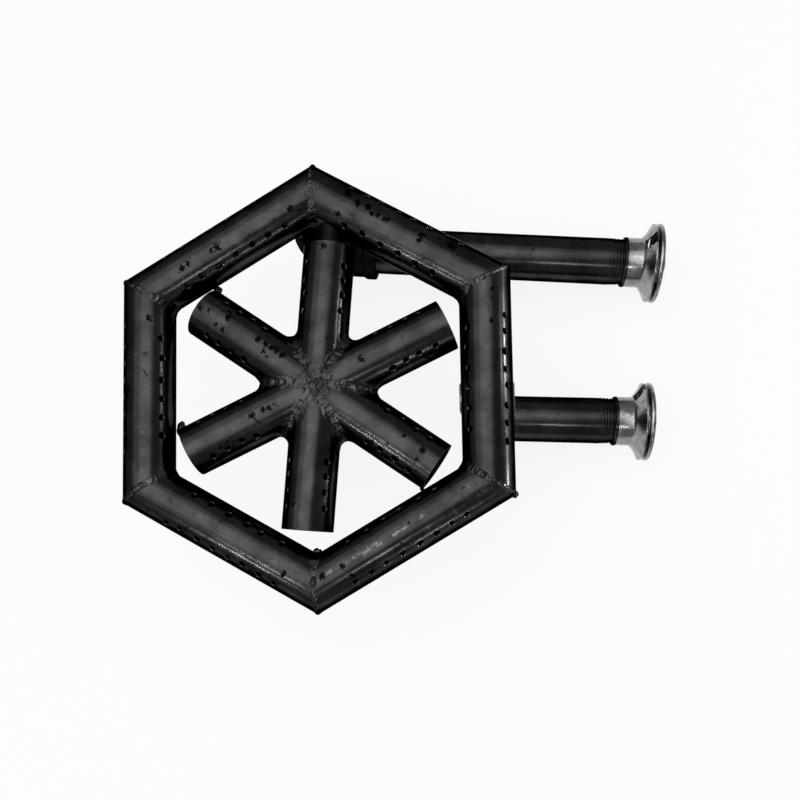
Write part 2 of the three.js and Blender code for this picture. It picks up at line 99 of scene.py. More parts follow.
# A material on Object coordinates in millimetres. Its look lists noises as size, detail,
# roughness and twist, the limits between which some of them rise from 0 to 1, the shares of them
# in roughness and relief, and the bump's depth and strength.
class Paint:
    def __init__(self, name, look):
        self.material = bpy.data.materials.new(name)
        self.material.use_nodes = True
        self.tree = self.material.node_tree
        self.tree.nodes.clear()
        self.look = look
        coords = self.node("ShaderNodeTexCoord", {}, {}, "Object")
        self.place = self.vectors("SCALE", {0: coords, "Scale": 1 / mm})
        self.wave = {key: self.grain(*sort) for key, sort in look["noise"].items()}
        for key, (low, high) in look["limits"].items():
            self.wave[key] = self.above(self.wave[key], low, high)

    def node(self, kind, settings, inputs, output=0):
        fresh = self.tree.nodes.new(kind)
        for key, value in settings.items():
            setattr(fresh, key, value)
        for key, value in inputs.items():
            if isinstance(value, Wire):
                self.tree.links.new(value.socket, fresh.inputs[key])
            else:
                fresh.inputs[key].default_value = value
        return Wire(self, fresh.outputs[output]) if len(fresh.outputs) else fresh

    def maths(self, operation, first, second=0.0):
        return self.node("ShaderNodeMath", {"operation": operation}, {0: first, 1: second})

    def vectors(self, operation, inputs, output=0):
        return self.node("ShaderNodeVectorMath", {"operation": operation}, inputs, output)

    def grain(self, size, detail=2.0, rough=0.5, twist=0.0, where=None):
        sockets = {"Vector": where or self.place, "Scale": 1 / size, "Detail": detail}
        sockets.update({"Roughness": rough, "Distortion": twist})
        return self.node("ShaderNodeTexNoise", {}, sockets)

    def above(self, value, low, high):
        sockets = {"Value": value, "From Min": low, "From Max": high}
        return self.node("ShaderNodeMapRange", {"interpolation_type": "SMOOTHSTEP"}, sockets)

    def blend(self, share, one, other):
        return self.node("ShaderNodeMix", {"data_type": "RGBA"}, {0: share, 6: one, 7: other}, 2)

    def mixed(self, shares):
        return sum(self.wave[key] * share for key, share in shares.items())

    def strongest(self, masks):
        mask = masks[0]
        for other in masks[1:]:
            mask = self.maths("MAXIMUM", mask, other)
        return mask

    def faded(self, away, radius, edge):
        away = away + (self.wave["ragged"] - 0.5) * radius * edge["ragged"]
        return 1 - self.above(away, edge["from"] * radius, edge["to"] * radius)

    # 1 at a point given about the ring's middle, 0 past the radius
    def near(self, point, radius):
        centre = Vector(point) + ringMiddle / mm
        away = self.vectors("DISTANCE", {0: self.place, 1: centre}, "Value")
        return self.faded(away, radius, stainEdge)

    # The same round a line from one such point to another
    def along(self, start, end, radius):
        middle = (Vector(start) + Vector(end)) / 2 + ringMiddle / mm
        way = (Vector(end) - Vector(start)) / 2
        half = way.length
        way.normalize()
        offset = self.vectors("SUBTRACT", {0: self.place, 1: middle})
        reach = self.vectors("DOT_PRODUCT", {0: offset, 1: way}, "Value")
        reach = self.maths("MINIMUM", self.maths("MAXIMUM", reach, -half), half)
        spot = self.vectors("SCALE", {0: way, "Scale": reach})
        away = self.vectors("DISTANCE", {0: offset, 1: spot}, "Value")
        return self.faded(away, radius, rubAndGlintEdge)

    # The finished metal, as rough and uneven as its look says
    def finish(self, colour):
        depth, strength = self.look["bump"]
        height = self.mixed(self.look["relief"])
        sockets = {"Strength": strength, "Distance": depth * mm, "Height": height}
        normal = self.node("ShaderNodeBump", {}, sockets)
        roughness = self.mixed(self.look["rough"]) + self.look["smoothest"]
        sockets = {"Base Color": colour, "Roughness": roughness, "Normal": normal}
        sockets.update({"Metallic": 1.0, "Specular Tint": grey(self.look["edge"])})
        shader = self.node("ShaderNodeBsdfPrincipled", {}, sockets)
        self.node("ShaderNodeOutputMaterial", {}, {"Surface": shader})
        return self.material


def grey(value, warm=0.0):
    return (value * (1 + warm), value, value * (1 - warm), 1)


lacquerLook = {
    "noise": {
        "cloud": (22, 4, 0.6), "mottle": (5, 5, 0.6), "dent": (9, 2), "peel": (1.8, 1),
        "ragged": (2.6, 5, 0.7, 0.8), "smear": (9, 6, 0.68, 0.9), "scuff": (11, 7, 0.72, 0.9),
        "chip": (1.5, 4, 0.6, 0.3), "patch": (13, 2),
    },
    "limits": {
        "cloud": (0.32, 0.68), "smear": (0.61, 0.69), "scuff": (0.57, 0.72),
        "chip": (0.76, 0.8), "patch": (0.52, 0.6),
    },
    "tone": {"cloud": 0.6, "mottle": 0.4}, "dark": 0.018, "pale": 0.052,
    # The pale grey and its limits serve both wear from rubbing and painted highlights at the ports
    "smeared": 0.003, "scuffed": 0.1, "scuffShare": 0.8, "rubAndGlintGrey": 0.115, "rubAndGlintLimits": (0.4, 0.66),
    "chipped": 0.3, "chipWarmth": 0.02, "edge": 0.08,
    "rough": {"mottle": 0.12, "smear": 0.15, "scuff": 0.07}, "smoothest": 0.145,
    "relief": {"peel": 0.07, "dent": 0.8, "smear": -0.35, "chip": -0.3}, "bump": (0.12, 0.7),
}
# The same lacquer over weld: lumpier, glossier in places, with more chips
weldLook = {
    **lacquerLook,
    "limits": {**lacquerLook["limits"], "chip": (0.69, 0.73), "patch": (0.45, 0.53)},
    "dark": 0.014, "pale": 0.07, "scuffed": 0.16, "chipped": 0.4, "edge": 0.1,
    "rough": {**lacquerLook["rough"], "mottle": 0.18}, "smoothest": 0.13,
    "relief": {**lacquerLook["relief"], "mottle": 1.5},
}
# Dark stains and dents seen on the photographed burner, each a place and a radius
stains = [
    ((-83, 76, 16.6), 3.4), ((-79, 79, 16.3), 2.4), ((-60, 89, 16.5), 3.8),
    ((-64, 87, 16.6), 2.4), ((-12.5, 113, 15.6), 2.8), ((-105, 45, 16), 2.8),
    ((71, 90.5, 16.3), 3.4), ((69.5, 88, 16.7), 2.2), ((49, 102, 16.5), 3),
    ((44, 105.5, 16.3), 2.6), ((39.6, 107, 16.6), 2.4), ((24.5, 120.7, 15.3), 3.6),
    ((31, 114, 16.3), 3.4), ((37, 111, 16), 2.8), ((18, 107.8, 14.8), 2.6),
    ((89.7, 84, 14.8), 4.5), ((114.4, 55.2, 16.1), 2), ((113, 35, 16.4), 1.8),
    ((8.1, 87.5, 16.6), 2.8), ((-71, 49.5, 16.7), 2.6), ((-66, 48, 16.7), 2),
    ((-53.4, 42.9, 16.1), 2.8), ((-61, 38.4, 16.3), 2.4), ((-57, 35, 16), 2.6),
    ((-33, 28.2, 16.2), 3.2), ((-28.8, 25.3, 16.2), 3.2), ((-25, 23, 16.2), 3),
    ((-21.5, 20.3, 16.2), 3), ((-18.5, 18, 16), 2.8), ((-30.5, 20.4, 16.7), 2.4),
    ((-28.7, 16.6, 16.5), 2.2), ((-27, -15.8, 16.7), 2.8), ((-31, -17, 16.7), 2.6),
    ((-38, -20, 16.7), 3), ((37, -39, 12.5), 3), ((57.6, -36, 16.3), 1.8),
    ((31, 13.5, 16.5), 2.6), ((69, -45, 16), 2.8), ((66, -50, 15), 2.6),
    ((-19, -120, 16.5), 2.6), ((5.4, -122, 16.6), 3), ((18, -115.6, 16.7), 2.6),
    ((24, -121, 15.2), 2.4),
]
# Pale places on the lower right side, each a line from one point to another and a radius: the
# long ones are wear from rubbing, the three short ones are painted highlights where burrs beside
# the ports glint
rubsAndGlints = [
    ((5.4, -121.5, 16.6), (42, -102, 16.7), 1.5),
    ((50.4, -97.1, 16.7), (70.3, -84.6, 16.6), 1.2),
    ((70.1, -94.4, 15.3), (110.5, -68.9, 16), 2),
    ((88.7, -84.9, 14.7), (86, -86.5, 14.7), 1.2),
    ((66.8, -99.8, 13.5), (64.5, -100.5, 14), 1.3),
    ((56.2, -105.2, 13.9), (55, -106, 13.9), 1.3),
]


# Thin black lacquer: mottled gloss, fine peel, dark smears and a few bright chips
def blackLacquer(name, look, dark=(), pale=()):
    paint = Paint(name, look)
    wave = paint.wave
    wave["smear"] = paint.strongest([wave["smear"]] + [paint.near(*stain) for stain in dark])
    wave["chip"] = wave["chip"] * wave["patch"]
    coat = paint.blend(paint.mixed(look["tone"]), grey(look["dark"]), grey(look["pale"]))
    scuffed = wave["scuff"] * wave["mottle"] * look["scuffShare"]
    coat = paint.blend(scuffed, coat, grey(look["scuffed"]))
    # Pale wear from rubbing, and painted highlights where the short marks sit beside the ports
    if pale:
        wornAndGlint = paint.strongest([paint.along(*paleMark) for paleMark in pale])
        wornAndGlint = wornAndGlint * paint.above(wave["mottle"], *look["rubAndGlintLimits"])
        coat = paint.blend(wornAndGlint, coat, grey(look["rubAndGlintGrey"]))
    coat = paint.blend(wave["smear"], coat, grey(look["smeared"]))
    return paint.finish(paint.blend(wave["chip"], coat, grey(look["chipped"], look["chipWarmth"])))


aluminiumLook = {
    "noise": {
        "cloud": (6, 6, 0.65, 0.4), "skin": (0.9, 4, 0.65), "nick": (1.9, 5, 0.62, 0.6),
        "stain": (7, 6, 0.68, 0.9),
    },
    "limits": {"cloud": (0.3, 0.7), "nick": (0.66, 0.72), "stain": (0.55, 0.68)},
    "turned": {"lines": (0.35, 2, 0.6, 0), "broad": (2.2, 2, 0.5, 0)}, "radiusShare": 0.5,
    "tone": {"cloud": 0.55, "broad": 0.25, "skin": 0.2}, "dark": 0.13, "pale": 0.42,
    "nicked": 0.025, "stained": 0.0625, "stainShare": 0.75, "edge": 1,
    "rough": {"lines": 0.08, "cloud": 0.08, "stain": 0.15}, "smoothest": 0.14,
    "relief": {"lines": 0.3, "skin": 0.35, "nick": -0.8, "broad": 0.35, "cloud": 0.2},
    "bump": (0.08, 0.85),
}


# Turned and cast aluminium about an axis: fine lines round it, a cast skin, dark nicks and stains
def castAluminium(name, look, origin, axis):
    paint = Paint(name, look)
    wave = paint.wave
    offset = paint.vectors("SUBTRACT", {0: paint.place, 1: origin})
    along = paint.vectors("DOT_PRODUCT", {0: offset, 1: axis}, "Value")
    across = paint.vectors("CROSS_PRODUCT", {0: offset, 1: axis})
    radius = paint.vectors("LENGTH", {0: across}, "Value")
    sockets = {0: along, 1: radius, 2: radius * look["radiusShare"]}
    spread = paint.node("ShaderNodeCombineXYZ", {}, sockets)
    for key, sort in look["turned"].items():
        wave[key] = paint.grain(*sort, spread)
    metal = paint.blend(paint.mixed(look["tone"]), grey(look["dark"]), grey(look["pale"]))
    metal = paint.blend(wave["stain"] * look["stainShare"], metal, grey(look["stained"]))
    return paint.finish(paint.blend(wave["nick"], metal, grey(look["nicked"])))


# Iron with the grain of its sand mould, bright plate and brass with faint clouds and scratches
ironLook = {
    "noise": {"cloud": (9, 4), "grit": (0.7, 3, 0.6)}, "limits": {},
    "dark": grey(0.006), "pale": grey(0.014), "edge": 0.06,
    "rough": {"grit": 0.2}, "smoothest": 0.38, "relief": {"grit": 1, "cloud": 2},
    "bump": (0.1, 0.7),
}
plateLook = {
    "noise": {"cloud": (2.5, 4, 0.6), "grit": (0.4, 2, 0.5, 1.2)}, "limits": {},
    "dark": grey(0.3, 0.03), "pale": grey(0.5, 0.01), "edge": 1,
    "rough": {"cloud": 0.2}, "smoothest": 0.24, "relief": {"grit": 1, "cloud": 1},
    "bump": (0.03, 0.7),
}
brassLook = {
    **plateLook, "dark": (0.14, 0.1, 0.05, 1), "pale": (0.36, 0.26, 0.12, 1), "smoothest": 0.26,
}


def cloudedMetal(name, look):
    paint = Paint(name, look)
    return paint.finish(paint.blend(paint.wave["cloud"], look["dark"], look["pale"]))


# A bmesh moved by a matrix and added to another
def addTo(target, part, place=None):
    if place is not None:
        part.transform(place)
    carrier = bpy.data.meshes.new("carrier")
    part.to_mesh(carrier)
    part.free()
    target.from_mesh(carrier)
    bpy.data.meshes.remove(carrier)


# Everything in a bmesh spun about an axis through the origin
def spun(bm, axis, angle, steps, **more):
    geom = bm.verts[:] + bm.edges[:] + bm.faces[:]
    bmesh.ops.spin(bm, geom=geom, cent=(0, 0, 0), axis=axis, angle=angle, steps=steps, **more)


# A closed outline of (along X, radius) spun about X
def turnedSolid(profile, steps):
    bm = bmesh.new()
    corners = [bm.verts.new((along, 0, radius)) for along, radius in profile]
    for one, other in zip(corners, corners[1:] + corners[:1]):
        if one.co.z or other.co.z:
            bm.edges.new((one, other))
    spun(bm, (1, 0, 0), full, steps, use_merge=True)
    bmesh.ops.remove_doubles(bm, verts=bm.verts, dist=touching)
    bmesh.ops.recalc_face_normals(bm, faces=bm.faces)
    return bm


def roundBar(start, end, radius, steps):
    return turnedSolid([(start, 0), (start, radius), (end, radius), (end, 0)], steps)


def bevelled(bm, edges, width, segments):
    bmesh.ops.bevel(
        bm, geom=edges, offset=width, offset_type="OFFSET", segments=segments, profile=0.5,
        affect="EDGES", material=-1, clamp_overlap=True
    )


# Rounds every edge that turns by more than 60 degrees
def softEdges(bm, width, segments):
    limit = math.radians(60)
    edges = [edge for edge in bm.edges if edge.is_manifold and edge.calc_face_angle(0) > limit]
    bevelled(bm, edges, width, segments)


# Cuts one bmesh with another in the same frame, or keeps what they share
def carved(blank, tool, operation="DIFFERENCE"):
    blocks = []
    for label, source in (("blank", blank), ("tool", tool)):
        mesh = bpy.data.meshes.new(label)
        source.to_mesh(mesh)
        source.free()
        blocks.append(bpy.data.objects.new(label, mesh))
        scene.collection.objects.link(blocks[-1])
    cut = blocks[0].modifiers.new("cut", "BOOLEAN")
    cut.operation = operation
    cut.solver = "EXACT"
    cut.object = blocks[1]
    evaluated = blocks[0].evaluated_get(bpy.context.evaluated_depsgraph_get())
    shape = bpy.data.meshes.new_from_object(evaluated)
    result = bmesh.new()
    result.from_mesh(shape)
    # Points that a cut leaves next to each other would spoil the next cut in some runs
    bmesh.ops.remove_doubles(result, verts=result.verts, dist=touching)
    bpy.data.meshes.remove(shape)
    for block in blocks:
        mesh = block.data
        bpy.data.objects.remove(block)
        bpy.data.meshes.remove(mesh)
    return result


# A finished piece at the origin, with its place in its mesh
def finished(name, bm, place, materials, node, body="burner", sharp=35):
    bm.transform(place)
    mesh = bpy.data.meshes.new(name)
    bm.to_mesh(mesh)
    bm.free()
    for material in materials:
        mesh.materials.append(material)
    mesh.polygons.foreach_set("use_smooth", [True] * len(mesh.polygons))
    mesh.set_sharp_from_angle(angle=math.radians(sharp))
    piece = bpy.data.objects.new(name, mesh)
    scene.collection.objects.link(piece)
    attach(piece, body)
    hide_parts(node)
    return piece


pipe = {"radius": 16.7, "bore": 13.3, "steps": 96, "gap": 0.17, "skin": 0.03}
ring = {
    "apothem": 110, "outerCount": 8, "outerPitch": 11.5, "innerCounts": [6, 6, 7, 6, 6, 6],
    "innerPitch": 12.6, "seed": 11,
}
ring["corner"] = ring["apothem"] / math.cos(math.pi / 6)
star = {
    "x": 1.7, "y": -1.3, "turn": 24.9, "length": 91.995, "ports": 4, "pitch": 10.1,
    "inset": 13.7, "seed": 41,
}
port = {
    "radius": 1.85, "spread": 0.2, "lean": 45, "leanSpread": 3, "wander": 1.1, "steps": 18,
    "under": 3, "over": 2.5, "burr": 0.55, "rise": 0.2, "mouth": 0.75, "flare": 1.2,
}

lacquer = blackLacquer("black lacquer", lacquerLook, stains, rubsAndGlints)
weldPaint = blackLacquer("lacquered weld", weldLook)
iron = cloudedMetal("black iron", ironLook)
print("black finishes mixed")


# Gives a drilled pipe the shading of a true cylinder
def roundShading(piece, place):
    mesh = piece.data
    back = place.inverted()
    turn = place.to_3x3().normalized()
    normals = [Vector((0, 0, 0))] * len(mesh.loops)
    local = [back @ vertex.co for vertex in mesh.vertices]
    offSkin = [abs(math.hypot(point.y, point.z) - pipe["radius"]) for point in local]
    for polygon in mesh.polygons:
        if all(offSkin[i] < pipe["skin"] for i in polygon.vertices):
            for loop in polygon.loop_indices:
                point = local[mesh.loops[loop].vertex_index]
                normals[loop] = turn @ Vector((0, point.y, point.z)).normalized()
    mesh.normals_split_custom_set(normals)


# Port drills along X, each (place along, lean, radius), with the burr at the mouth broken
def portDrills(ports):
    drills = bmesh.new()
    low, top, high = pipe["bore"] - port["under"], pipe["radius"], pipe["radius"] + port["over"]
    for along, lean, radius in ports:
        mouth = radius + port["mouth"]
        profile = [
            (low, 0), (low, radius), (top - port["burr"], radius), (top + port["rise"], mouth),
            (high, mouth + port["flare"]), (high, 0),
        ]
        stand = Matrix.Rotation(math.radians(-lean), 4, "X")
        stand = Matrix.Translation((along, 0, 0)) @ stand @ Matrix.Rotation(-math.pi / 2, 4, "Y")
        addTo(drills, turnedSolid(profile, port["steps"]), stand)
    return drills


# Seeded places for a row of drilled ports, as unevenly spaced as hand drilling leaves them
def portRow(rng, places, lean):
    return [
        (
            along + rng.uniform(-port["wander"], port["wander"]),
            lean + rng.uniform(-port["leanSpread"], port["leanSpread"]),
            port["radius"] + rng.uniform(-port["spread"], port["spread"]),
        )
        for along in places
    ]


def evenly(count, pitch):
    return [(i - (count - 1) / 2) * pitch for i in range(count)]


def roundTube(start, end, bore, radius):
    return turnedSolid([(start, bore), (end, bore), (end, radius), (start, radius)], pipe["steps"])


def pipeBlank(start, end):
    return roundTube(start, end, pipe["bore"], pipe["radius"])


# Slides both ends of a side of the ring to its mitres; local Y points at the ring's middle
def mitred(bm, gap):
    for vertex in bm.verts:
        reach = (ring["apothem"] - vertex.co.y) * math.tan(math.pi / 6) - gap
        vertex.co.x = math.copysign(reach, vertex.co.x)
    return bm


def sideFrame(side):
    across = Matrix.Translation((ring["apothem"], 0, 0)) @ Matrix.Rotation(math.pi / 2, 4, "Z")
    return frameAt(yaw=60 * side) @ across


for side in range(6):
    rng = random.Random(ring["seed"] + side)
    ports = portRow(rng, evenly(ring["outerCount"], ring["outerPitch"]), -port["lean"])
    ports += portRow(rng, evenly(ring["innerCounts"][side], ring["innerPitch"]), port["lean"])
    tube = carved(mitred(pipeBlank(-1, 1), pipe["gap"]), portDrills(ports))
    place, node = sideFrame(side), f"ring_tube_{side + 1}"
    piece = finished(f"ring_side_{side + 1}", tube, place, [lacquer], node)
    roundShading(piece, place)
print("ring drilled")


def starFrame(turn):
    return frameAt(star["x"], star["y"], 0, star["turn"] + turn)


# Each arm's inner end is cut to its sixth of the star, and its outer end's face is bare iron
for arm in range(6):
    rng = random.Random(star["seed"] + arm)
    places = [star["length"] - star["inset"] - i * star["pitch"] for i in range(star["ports"])]
    ports = portRow(rng, places, port["lean"]) + portRow(rng, places, -port["lean"])
    tube = pipeBlank(0, star["length"])
    for vertex in tube.verts:
        if vertex.co.x < 1:
            vertex.co.x = abs(vertex.co.y) * math.sqrt(3) + 2 * pipe["gap"]
    tube = carved(tube, portDrills(ports))
    for face in tube.faces:
        if face.calc_center_median().x > star["length"] - hair:
            face.material_index = 1
    place, node = starFrame(60 * arm), f"star_arm_{arm + 1}"
    piece = finished(f"star_pipe_{arm + 1}", tube, place, [lacquer, iron], node)
    roundShading(piece, place)
print("star drilled")

weldSkin = {
    "dropSpacing": 2.7, "dropSize": 0.62, "patchSize": 5, "pitSize": 1.7, "pitsAbove": 0.3,
    "drop": 0.9, "patch": 0.7, "pit": 2.2,
}


def drifted(seed):
    return Vector((seed * 5.1, seed * 3.7, seed * 9.3))


# Drops, patches and pits of weld, in mm over a smooth skin
def weldRelief(point, seed):
    drift = drifted(seed)
    away = noise.voronoi(point / weldSkin["dropSpacing"] + drift)[0][0]
    drop = math.sqrt(max(0, 1 - (away / weldSkin["dropSize"]) ** 2))
    patch = noise.noise(point / weldSkin["patchSize"] + drift)
    pit = max(0, noise.noise(point / weldSkin["pitSize"] - drift) - weldSkin["pitsAbove"])
    relief = weldSkin["drop"] * drop * (0.5 + patch) + weldSkin["patch"] * patch
    return relief - weldSkin["pit"] * pit


# Weld over the seam of two pipes mitred at the XZ plane. stretch is how much longer the seam is
# across than a pipe is wide, away how far a pipe's direction leans to +X. At each place round
# the seam the skin follows both pipes, filleted where they meet inwards, and its edges dive in.
def seamBead(sizes, stretch, away, first, last, seed):
    bm = bmesh.new()
    whole = last - first >= 360
    radius = pipe["radius"]
    lift = Matrix.Translation((radius, 0, 0))
    turn = Matrix.Rotation(-math.radians(first), 3, "Y")
    bmesh.ops.create_circle(bm, cap_ends=not whole, segments=sizes["sides"], radius=1, matrix=lift)
    bmesh.ops.rotate(bm, verts=bm.verts, cent=(0, 0, 0), matrix=turn)
    spun(bm, (0, -1, 0), math.radians(last - first), sizes["steps"], use_merge=whole)
    bmesh.ops.remove_doubles(bm, verts=bm.verts, dist=touching)
    for vertex in bm.verts:
        angle = math.atan2(vertex.co.z, vertex.co.x)
        outwards = Vector((math.cos(angle), 0, math.sin(angle)))
        ringOut = vertex.co - outwards * radius
        up, sidewards = ringOut.dot(outwards), ringOut.y
        inwardBend = max(math.copysign(1, away) * outwards.x, 0) ** 2
        half = sizes["half"] + sizes["halfBend"] * inwardBend
        across = sidewards * half
        outwardBend = max(-math.copysign(1, away) * outwards.x, 0)
        fillet = sizes["fillet"] * inwardBend + sizes["round"] * outwardBend ** 2 + hair
        level = abs(across) + max(0, fillet - abs(across)) ** 2 / (2 * fillet)
        reach = away * level * outwards.x
        reach += math.sqrt(radius ** 2 - (away * level * outwards.z) ** 2)
        spot = Vector((stretch * reach * outwards.x, across, reach * outwards.z))
        calm = max(sizes["smooth"] * inwardBend, sizes["smoothOut"] * outwardBend ** 2)
        raised = weldRelief(spot, seed) * (1 - calm) + sizes["proud"]
        raised += sizes["knob"] * outwardBend ** 4
        reach += (1 - sidewards ** 2) * raised - sizes["dive"] * sidewards ** 2
        if up < 0:
            reach += up * sizes["depth"]
        vertex.co = Vector((stretch * reach * outwards.x, across, reach * outwards.z))
    bmesh.ops.recalc_face_normals(bm, faces=bm.faces)
    return bm


blob = {"detail": 4, "lumps": 1.3, "rough": 0.35, "grain": 1.4, "grainShare": 0.35}


# Noisy blob of weld, squashed upright
def weldBlob(radius, rise, seed):
    bm = bmesh.new()
    bmesh.ops.create_icosphere(bm, subdivisions=blob["detail"], radius=radius)
    drift = drifted(seed)
    for vertex in bm.verts:
        swell = noise.noise(vertex.co / radius * blob["lumps"] + drift) * blob["rough"]
        fine = noise.noise(vertex.co / blob["grain"] + drift) * blob["rough"]
        vertex.co *= 1 + swell + fine * blob["grainShare"]
        vertex.co.z *= rise / radius
    return bm


ringBead = {
    "sides": 22, "steps": 420, "half": 2.6, "halfBend": 2.2, "fillet": 3.4, "round": 2.4,
    "proud": 0.3, "smooth": 0.7, "smoothOut": 0.7, "knob": 0.4, "dive": 0.35, "depth": 2,
}
# Drips at the bottom corner inside and the lower right corner outside: place from corner, radius
drips = {4: ((-19.8, 0, 1), 3), 5: ((17.9, 0, 2), 2.3)}
for number in range(6):
    place = frameAt(yaw=60 * number + 30) @ Matrix.Translation((ring["corner"], 0, 0))
    bead = seamBead(ringBead, 2 / math.sqrt(3), -0.5, -180, 180, number + 1)
    if number in drips:
        at, radius = drips[number]
        addTo(bead, weldBlob(radius, radius, 90 + number), Matrix.Translation(at))
    name, node = f"ring_bead_{number + 1}", f"ring_weld_{number + 1}"
    finished(name, bead, place, [weldPaint], node, sharp=70)

starBead = {
    "sides": 30, "steps": 300, "half": 3.6, "halfBend": 3.2, "fillet": 5.2, "round": 0,
    "proud": 0.25, "smooth": 0.65, "smoothOut": 0.7, "knob": 0, "dive": 0.35, "depth": 2,
}
for seam in range(6):
    bead = seamBead(starBead, 2, math.sqrt(3) / 2, -85, 85, seam + 11)
    name, node = f"star_bead_{seam + 1}", f"star_weld_{seam + 1}"
    place = starFrame(60 * seam + 30)
    finished(name, bead, place, [weldPaint], node, sharp=70)

hub = {
    "radius": 18.5, "rings": 56, "around": 160, "proud": 0.45, "lumps": 1.1, "depth": 3,
    "dive": 0.4, "arm": 16,
}


# Height of the star's arms over its middle plane
def starTop(x, y):
    offs = [x * math.sin(math.pi / 3 * k) - y * math.cos(math.pi / 3 * k) for k in range(3)]
    return max(
        math.sqrt(pipe["radius"] ** 2 - off * off) if abs(off) < hub["arm"] else 0 for off in offs
    )


# Cap of weld over the middle of the star, closed by a plain cap inside the pipes
def hubCap(face, seed):
    bm = bmesh.new()
    loops = []
    steps = list(range(1, hub["rings"] + 1)) + list(range(hub["rings"], 0, -1))
    for order, step in enumerate(steps):
        scale = step / hub["rings"] * hub["radius"]
        under = order >= hub["rings"]
        edge = (step / hub["rings"]) ** 2
        fresh = []
        for i in range(hub["around"]):
            turn = full * i / hub["around"]
            x, y = scale * math.cos(turn), scale * math.sin(turn)
            relief = weldRelief(Vector((x, y, 40 * face)), seed)
            rise = (relief * hub["lumps"] + hub["proud"]) * (1 - edge) ** 2
            z = starTop(x, y) + rise - hub["dive"] * edge - (hub["depth"] if under else 0)
            fresh.append(bm.verts.new((x, y, face * z)))
        loops.append(fresh)
    for one, other in zip(loops, loops[1:]):
        for i in range(hub["around"]):
            after = (i + 1) % hub["around"]
            bm.faces.new((one[i], one[after], other[after], other[i]))
    bm.faces.new(loops[0])
    bm.faces.new(loops[-1])
    bmesh.ops.recalc_face_normals(bm, faces=bm.faces)
    return bm


for face, where in ((1, "top"), (-1, "bottom")):
    name, node = f"hub_lump_{where}", f"hub_weld_{where}"
    finished(name, hubCap(face, 5 + face), starFrame(0), [weldPaint], node, sharp=70)

# Tacks as shares of their node's width; the black tab at the lower left arm is the long one
tacks = {
    1: {"size": 0.52, "stretch": (1, 1, 1, 1)}, 2: {"size": 0.7, "stretch": (0.8, 1.5, 1, 1)},
    3: {"size": 0.52, "stretch": (1, 1, 1, 1)},
}
tackRise = 0.6
tackDrop = 2.5
for number, tack in tacks.items():
    node = f"star_tack_{number}"
    low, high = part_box(node)
    size = max(high.x - low.x, high.y - low.y) / 2 / mm
    lump = weldBlob(size * tack["size"], size * tackRise, 70 + number)
    place = Matrix.Translation((low + high) / 2) @ Matrix.Scale(mm, 4)
    place = place @ Matrix.Translation((0, 0, -tackDrop)) @ Matrix.Diagonal(tack["stretch"])
    finished(f"star_tack_lump_{number}", lump, place, [weldPaint], node)
print("welds laid")

inlet = {
    "drop": 87.5, "socket": 17.0, "threadLength": 20, "threadTip": 15.8, "engaged": 9,
    "riserGap": 0.3,
}
cornerInlet = {
    "name": "corner", "x": -3, "y": ring["corner"] - 3.2, "yaw": -5.2, "start": 20.8,
    "reach": 218, "turn": 35, "windowTurn": 12, "sides": (1, 2),
}
sideInlet = {
    "name": "side", "x": ring["apothem"], "y": -9.5, "yaw": -3, "start": -pipe["radius"],
    "reach": 93.2, "turn": 56, "windowTurn": 0, "sides": (0,),
}
inlets = (cornerInlet, sideInlet)


def inletFrame(place):
    return frameAt(place["x"], place["y"], -inlet["drop"], place["yaw"])


# Solid bar that stands for a side of the ring where something is cut to fit round it
def ringBar(frameBack, number, radius, overlap=0.02):
    bar = mitred(roundBar(-1, 1, radius, pipe["steps"]), -overlap)
    bar.transform(frameBack @ sideFrame(number))
    return bar


def upright(bm):
    bm.transform(Matrix.Rotation(-math.pi / 2, 4, "Y"))
    return bm


# The bar that cuts the weld goes past its mitre, so that no skin is left there
riserWeld = {
    "low": 50, "high": 83, "inner": 17, "outer": 19.6, "fillet": 1.6, "gap": 0.25, "past": 0.5,
}

for place in inlets:
    which, spot = place["name"], inletFrame(place)
    back = spot.inverted()
    riser = upright(pipeBlank(place["start"], inlet["drop"]))
    if place is sideInlet:
        for vertex in riser.verts:
            if vertex.co.z < 0:
                vertex.co.z = vertex.co.x + pipe["gap"]
    for number in place["sides"]:
        riser = carved(riser, ringBar(back, number, pipe["radius"] + inlet["riserGap"]))
    size = [riserWeld[key] for key in ("low", "high", "inner", "outer")]
    collar = upright(roundTube(*size))
    weld = bmesh.new()
    for number in place["sides"]:
        around = ringBar(back, number, pipe["radius"] + riserWeld["fillet"])
        fillet = carved(collar.copy(), around, "INTERSECT")
        radius = pipe["radius"] + riserWeld["gap"]
        addTo(weld, carved(fillet, ringBar(back, number, radius, riserWeld["past"])))
    collar.free()
    node = f"{which}_riser"
    finished(f"{node}_pipe", riser, spot, [lacquer], node)
    finished(f"{node}_bead", weld, spot, [weldPaint], f"{node}_weld")
print("risers fitted")

thread = {
    "pitch": 2.25, "steps": 48, "turns": 8, "runIn": 0.6, "root": 1.3, "crest": 0.18,
    "width": 0.46, "proud": 0.45, "chamfer": 0.5, "chamferLength": 1,
}


# Taper of a threaded end, from the full pipe to its tip
def taperAt(along, end):
    start = end - inlet["threadLength"]
    share = min(max((along - start) / inlet["threadLength"], 0), 1)
    return (pipe["radius"] - inlet["threadTip"]) * share


def slimmed(vertex, cut):
    share = 1 - cut / pipe["radius"]
    vertex.co.y *= share
    vertex.co.z *= share


